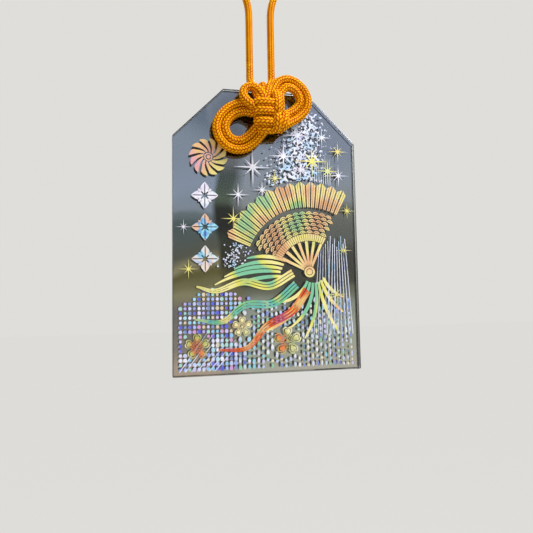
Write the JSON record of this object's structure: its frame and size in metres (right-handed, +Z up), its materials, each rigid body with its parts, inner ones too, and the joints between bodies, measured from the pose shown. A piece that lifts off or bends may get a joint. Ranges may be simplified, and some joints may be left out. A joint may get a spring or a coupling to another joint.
{
  "type": "omamori charm",
  "caption": "House-shaped charm of clear acrylic with a mirror back and holographic foil, hung on a braided cord tied in a double bow knot.",
  "frame": {"origin": "the inside of the hanging loop's top, where a hook, a peg or a finger holds the charm", "axes": "+Z up, -Y out of the tablet's front face, +X to the right as seen from the front"},
  "size_m": [0.045, 0.0108, 0.0963],
  "materials": {
    "acrylic": "polished",
    "mirror": "polished",
    "gold_foil": "gloss",
    "peach_foil": "gloss",
    "green_foil": "gloss",
    "orange_foil": "gloss",
    "silver_foil": "gloss",
    "cord": "matte"
  },
  "bodies": {
    "loop": {"hanging_loop": "cord"},
    "neck": {"neck_strand_left": "cord", "neck_strand_right": "cord"},
    "knot": {"tied_knot": "cord"},
    "tablet": {"acrylic_sheet": "acrylic", "mirror_backing": "mirror", "foil_rosette": "peach_foil", "foil_ornament_upper": "silver_foil", "foil_ornament_middle": "silver_foil", "foil_ornament_lower": "silver_foil", "foil_fan": "gold_foil", "foil_ribbon_upper": "gold_foil", "foil_ribbon_middle": "green_foil", "foil_ribbon_lower": "orange_foil", "foil_blossom_1": "peach_foil", "foil_blossom_2": "peach_foil", "foil_blossom_3": "peach_foil", "foil_ray_comb": "silver_foil", "foil_star_1": "silver_foil", "foil_star_2": "silver_foil", "foil_star_3": "gold_foil", "foil_star_4": "silver_foil", "foil_star_5": "gold_foil", "foil_star_6": "silver_foil", "foil_star_7": "gold_foil", "foil_star_8": "gold_foil"}
  },
  "joints": [
    {"name": "charm_twist", "type": "hinge", "parent": "loop", "child": "neck", "pos_m": [0, 0, -0.01812], "axis": [0, 0, 1], "range_deg": [-180, 180]},
    {"name": "charm_swing", "type": "hinge", "parent": "neck", "child": "knot", "pos_m": [0, 0, -0.02353], "axis": [1, 0, 0], "range_deg": [-60, 60]},
    {"name": "tablet_tilt", "type": "hinge", "parent": "knot", "child": "tablet", "pos_m": [0.0011, 0.0002, -0.03122], "axis": [1, 0, 0], "range_deg": [-1, 7]}
  ]
}
